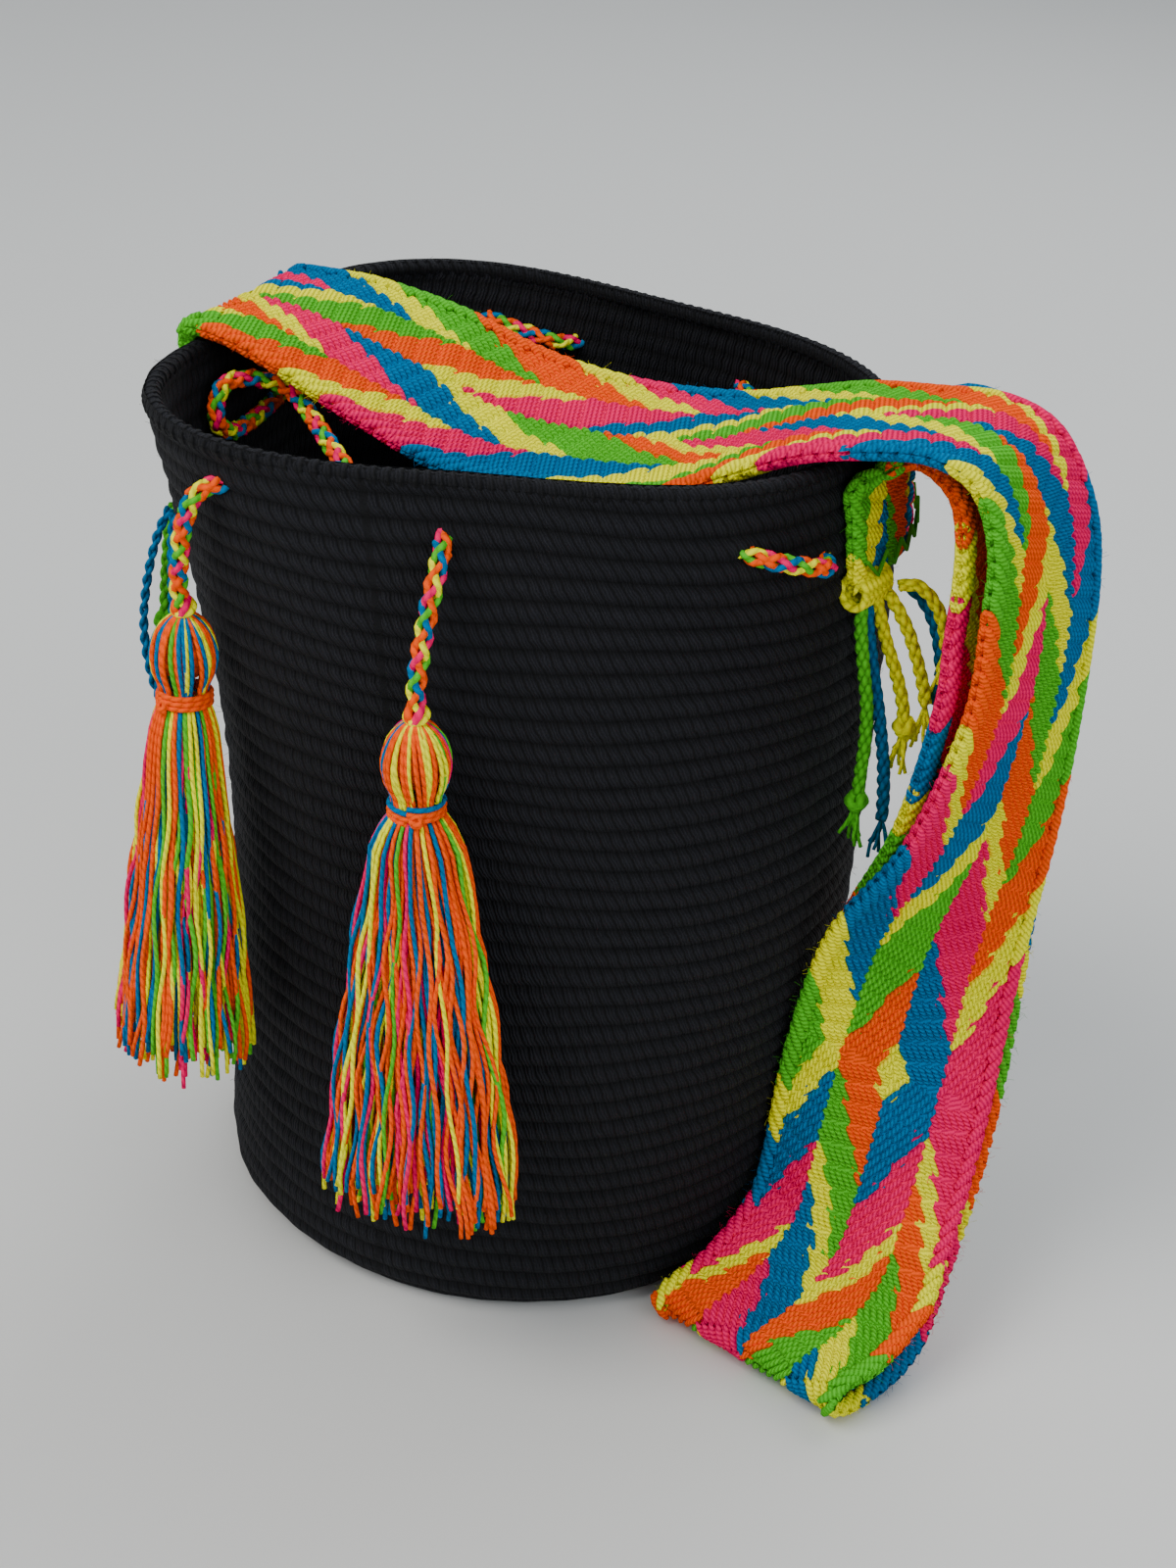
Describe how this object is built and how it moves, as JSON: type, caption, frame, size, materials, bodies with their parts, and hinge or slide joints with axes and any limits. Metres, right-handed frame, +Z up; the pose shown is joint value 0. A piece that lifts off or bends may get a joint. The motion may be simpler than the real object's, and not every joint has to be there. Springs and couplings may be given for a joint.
{
  "type": "crocheted bucket bag",
  "caption": "Crocheted bucket bag with a flat base, a wide woven shoulder strap draped over the mouth, a braided drawstring through eyelets and hanging tassels.",
  "frame": {"origin": "centre of the flat round base, on the surface the bag stands on", "axes": "+Z up out of the base towards the mouth; -Y is the front, where the tassels hang; the strap is sewn on at +X and -X and hangs down at +X"},
  "size_m": [0.3067, 0.25, 0.3144],
  "materials": {
    "crochet": "matte crocheted cotton, charcoal black",
    "strap_weave": "matte woven cotton in orange, yellow, magenta, blue and green zigzags",
    "braid": "matte braided cotton in five colours",
    "tassel_yarn": "matte twisted cotton yarn in five colours",
    "orange_yarn": "matte twisted cotton",
    "yellow_yarn": "matte twisted cotton",
    "blue_yarn": "matte twisted cotton",
    "green_yarn": "matte twisted cotton",
    "seam_thread": "matte cotton thread"
  },
  "bodies": {
    "root": {"bag_body": "crochet", "strap": "strap_weave", "strap_seam_right": "seam_thread", "strap_seam_left": "seam_thread", "drawstring": "braid", "tassel_left": "tassel_yarn", "tassel_right": "tassel_yarn", "tassel_left_binding": "orange_yarn", "tassel_right_binding": "orange_yarn", "yellow_cord_front": "yellow_yarn", "yellow_cord_middle": "yellow_yarn", "yellow_cord_back": "yellow_yarn", "blue_cord_long": "blue_yarn", "blue_cord_short": "blue_yarn", "green_cord": "green_yarn", "blue_loop_left": "blue_yarn", "blue_cord_left": "blue_yarn", "green_cord_left": "green_yarn"}
  },
  "joints": []
}
